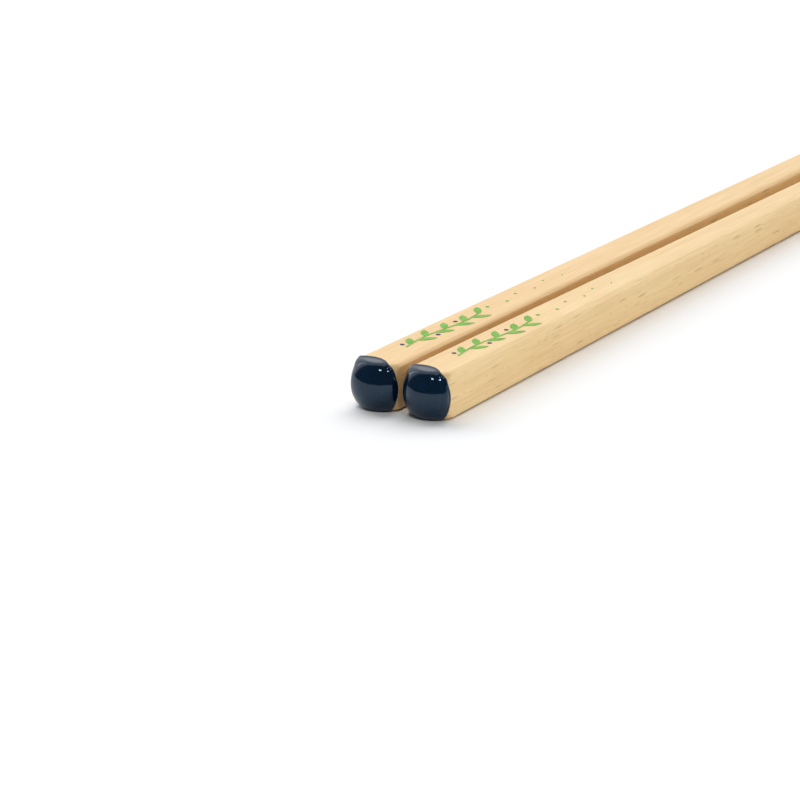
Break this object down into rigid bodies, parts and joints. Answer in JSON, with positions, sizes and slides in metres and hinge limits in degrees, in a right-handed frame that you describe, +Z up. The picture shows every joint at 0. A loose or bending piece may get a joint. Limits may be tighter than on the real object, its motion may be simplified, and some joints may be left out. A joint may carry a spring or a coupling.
{
  "type": "pair of chopsticks",
  "caption": "Two square tapered wooden chopsticks side by side, their rounded butt ends dipped in dark blue lacquer and a small leaf sprig printed on top.",
  "frame": {"origin": "middle of the pair's bounding box, on the surface they lie on", "axes": "+X from the lacquered butt ends to the tips, +Y from the right stick to the left one, +Z up"},
  "size_m": [0.2252, 0.0168, 0.0077],
  "materials": {
    "wood": "fine sanded beech-like wood with a thin clear satin coat",
    "navy_lacquer": "high gloss dipped lacquer",
    "green_ink": "thin printed ink",
    "navy_ink": "thin printed ink"
  },
  "bodies": {
    "root": {"stick_left": "wood", "stick_right": "wood", "lacquer_end_left": "navy_lacquer", "lacquer_end_right": "navy_lacquer", "leaf_print_left": "green_ink", "leaf_print_right": "green_ink", "berry_print_left": "navy_ink", "berry_print_right": "navy_ink"}
  },
  "joints": []
}
